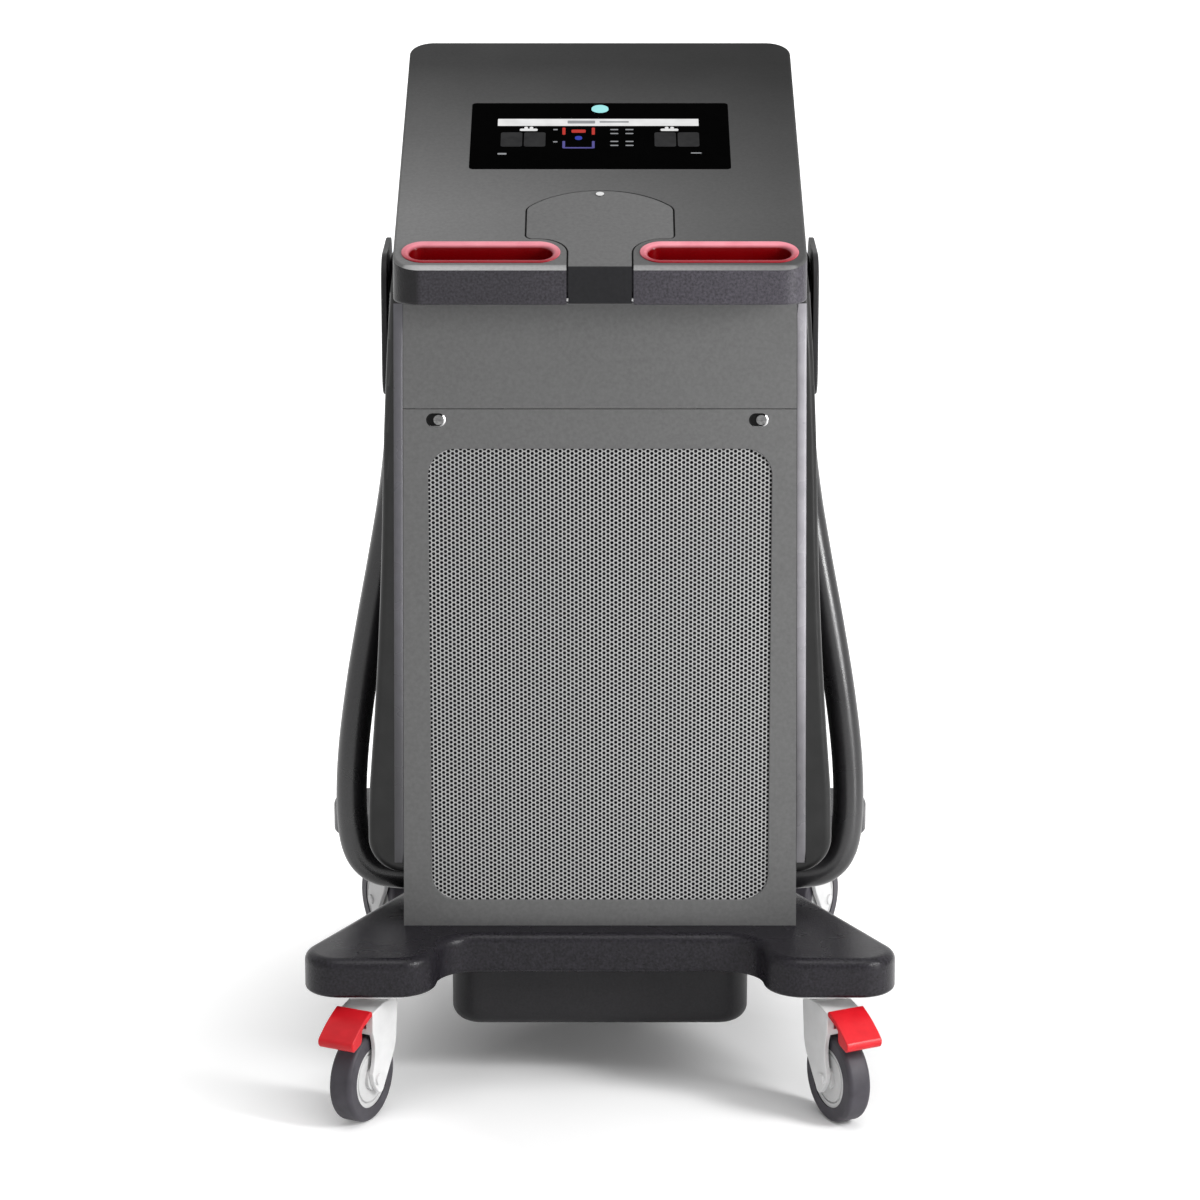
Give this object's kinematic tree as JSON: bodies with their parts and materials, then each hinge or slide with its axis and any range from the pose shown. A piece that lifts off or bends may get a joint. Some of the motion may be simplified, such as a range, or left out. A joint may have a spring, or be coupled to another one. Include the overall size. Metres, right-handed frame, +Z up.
{
  "type": "hot cold therapy cart",
  "caption": "Wheeled hot and cold therapy cart with sloping touchscreen console, hand slots, reservoir lid, front grille, side hoses and braked casters.",
  "frame": {"origin": "on the floor, under the middle of the cart's outline", "axes": "+Z up, front with its grille and handle bar towards -Y, +X to the right seen from the front"},
  "size_m": [0.65, 0.7312, 1.1107],
  "materials": {
    "deck": "moulded, light grain",
    "tub": "moulded, light grain",
    "front": "fine textured powder coat",
    "grille": "perforated sheet",
    "side": "fine textured powder coat",
    "cover": "satin moulded plastic",
    "console": "fine textured",
    "lid": "fine textured",
    "red": "satin",
    "steel": "plain",
    "chrome": "polished",
    "glass": "dark glossy glass",
    "module": "dark",
    "button": "translucent, lit from behind",
    "board": "circuit board",
    "tank": "translucent white",
    "jacket": "insulating jacket",
    "aluminium": "plain",
    "black_metal": "black enamel",
    "black_plastic": "moulded",
    "hose": "matt sleeve over an insulated twin hose",
    "tyre": "dark slate non-marking",
    "hub": "moulded",
    "fork": "light grey coat"
  },
  "bodies": {
    "cart": {"base_platform": "deck", "under_tub": "tub", "caster_stems": "steel", "front_band": "front", "front_panel": "front", "grille_mesh": "grille", "rear_panel": "side", "equipment_shelf": "steel", "console_shell": "console", "handle_bar": "console", "lid_hinge_pin": "steel", "display_glass": "glass", "display_module": "module", "hose_ports": "black_plastic", "mains_inlet": "black_plastic", "cold_reservoir": "tank", "hot_tank": "jacket", "circulation_pumps": "black_plastic", "valve_manifold": "aluminium", "condenser": "aluminium", "fan_shroud": "black_plastic", "compressor": "black_metal", "air_pump": "aluminium", "power_supply": "aluminium", "control_board": "board", "side_panel_left": "side", "side_cover_left": "cover", "slot_liner_left": "red", "hose_hook_left": "black_plastic", "hose_left": "hose", "hose_connector_left": "black_plastic", "side_panel_right": "side", "side_cover_right": "cover", "slot_liner_right": "red", "hose_hook_right": "black_plastic", "hose_right": "hose", "hose_connector_right": "black_plastic"},
    "swivel_front_left": {"caster_fork_front_left": "fork"},
    "wheel_front_left": {"caster_tyre_front_left": "tyre", "caster_hub_front_left": "hub"},
    "pedal_front_left": {"caster_pedal_front_left": "red"},
    "swivel_front_right": {"caster_fork_front_right": "fork"},
    "wheel_front_right": {"caster_tyre_front_right": "tyre", "caster_hub_front_right": "hub"},
    "pedal_front_right": {"caster_pedal_front_right": "red"},
    "swivel_rear_left": {"caster_fork_rear_left": "fork"},
    "wheel_rear_left": {"caster_tyre_rear_left": "tyre", "caster_hub_rear_left": "hub"},
    "pedal_rear_left": {"caster_pedal_rear_left": "red"},
    "swivel_rear_right": {"caster_fork_rear_right": "fork"},
    "wheel_rear_right": {"caster_tyre_rear_right": "tyre", "caster_hub_rear_right": "hub"},
    "pedal_rear_right": {"caster_pedal_rear_right": "red"},
    "lid": {"reservoir_lid": "lid", "lid_catch": "chrome"},
    "latch_left": {"panel_latch_left": "steel"},
    "latch_right": {"panel_latch_right": "steel"},
    "switch": {"power_switch": "red"},
    "button": {"standby_button": "button"},
    "fan": {"fan_rotor": "black_plastic"}
  },
  "joints": [
    {"name": "swivel_front_left", "type": "hinge", "parent": "cart", "child": "swivel_front_left", "pos_m": [-0.247, -0.2745, 0.13], "axis": [0, 0, 1], "continuous": true},
    {"name": "wheel_front_left", "type": "hinge", "parent": "swivel_front_left", "child": "wheel_front_left", "pos_m": [-0.26289, -0.30569, 0.05], "axis": [0.891, -0.454, 0], "continuous": true},
    {"name": "brake_front_left", "type": "hinge", "parent": "swivel_front_left", "child": "pedal_front_left", "pos_m": [-0.26471, -0.30925, 0.119], "axis": [0.891, -0.454, 0], "range_deg": [0, 14]},
    {"name": "swivel_front_right", "type": "hinge", "parent": "cart", "child": "swivel_front_right", "pos_m": [0.247, -0.2745, 0.13], "axis": [0, 0, 1], "continuous": true},
    {"name": "wheel_front_right", "type": "hinge", "parent": "swivel_front_right", "child": "wheel_front_right", "pos_m": [0.26289, -0.30569, 0.05], "axis": [0.891, 0.454, 0], "continuous": true},
    {"name": "brake_front_right", "type": "hinge", "parent": "swivel_front_right", "child": "pedal_front_right", "pos_m": [0.26471, -0.30925, 0.119], "axis": [0.891, 0.454, 0], "range_deg": [0, 14]},
    {"name": "swivel_rear_left", "type": "hinge", "parent": "cart", "child": "swivel_rear_left", "pos_m": [-0.247, 0.2745, 0.13], "axis": [0, 0, 1], "continuous": true},
    {"name": "wheel_rear_left", "type": "hinge", "parent": "swivel_rear_left", "child": "wheel_rear_left", "pos_m": [-0.26289, 0.30569, 0.05], "axis": [-0.891, -0.454, 0], "continuous": true},
    {"name": "brake_rear_left", "type": "hinge", "parent": "swivel_rear_left", "child": "pedal_rear_left", "pos_m": [-0.26471, 0.30925, 0.119], "axis": [-0.891, -0.454, 0], "range_deg": [0, 14]},
    {"name": "swivel_rear_right", "type": "hinge", "parent": "cart", "child": "swivel_rear_right", "pos_m": [0.247, 0.2745, 0.13], "axis": [0, 0, 1], "continuous": true},
    {"name": "wheel_rear_right", "type": "hinge", "parent": "swivel_rear_right", "child": "wheel_rear_right", "pos_m": [0.26289, 0.30569, 0.05], "axis": [-0.891, 0.454, 0], "continuous": true},
    {"name": "brake_rear_right", "type": "hinge", "parent": "swivel_rear_right", "child": "pedal_rear_right", "pos_m": [0.26471, 0.30925, 0.119], "axis": [-0.891, 0.454, 0], "range_deg": [0, 14]},
    {"name": "lid_hinge", "type": "hinge", "parent": "cart", "child": "lid", "pos_m": [0, -0.2575, 0.911], "axis": [1, 0, 0], "range_deg": [0, 105]},
    {"name": "latch_left", "type": "hinge", "parent": "cart", "child": "latch_left", "pos_m": [-0.175, -0.2015, 0.7675], "axis": [0, 1, 0], "range_deg": [0, 90]},
    {"name": "latch_right", "type": "hinge", "parent": "cart", "child": "latch_right", "pos_m": [0.175, -0.2015, 0.7675], "axis": [0, 1, 0], "range_deg": [0, 90]},
    {"name": "power_switch", "type": "hinge", "parent": "cart", "child": "switch", "pos_m": [0.138, 0.229, 0.28], "axis": [1, 0, 0], "range_deg": [-7, 7]},
    {"name": "standby_button", "type": "slide", "parent": "cart", "child": "button", "axis": [0, 0.2924, -0.9563], "range_m": [0, 0.0012], "stiffness_N_per_m": 600, "springref_m": -0.001},
    {"name": "fan_spin", "type": "hinge", "parent": "cart", "child": "fan", "pos_m": [0, -0.128, 0.372], "axis": [0, 1, 0], "continuous": true}
  ]
}
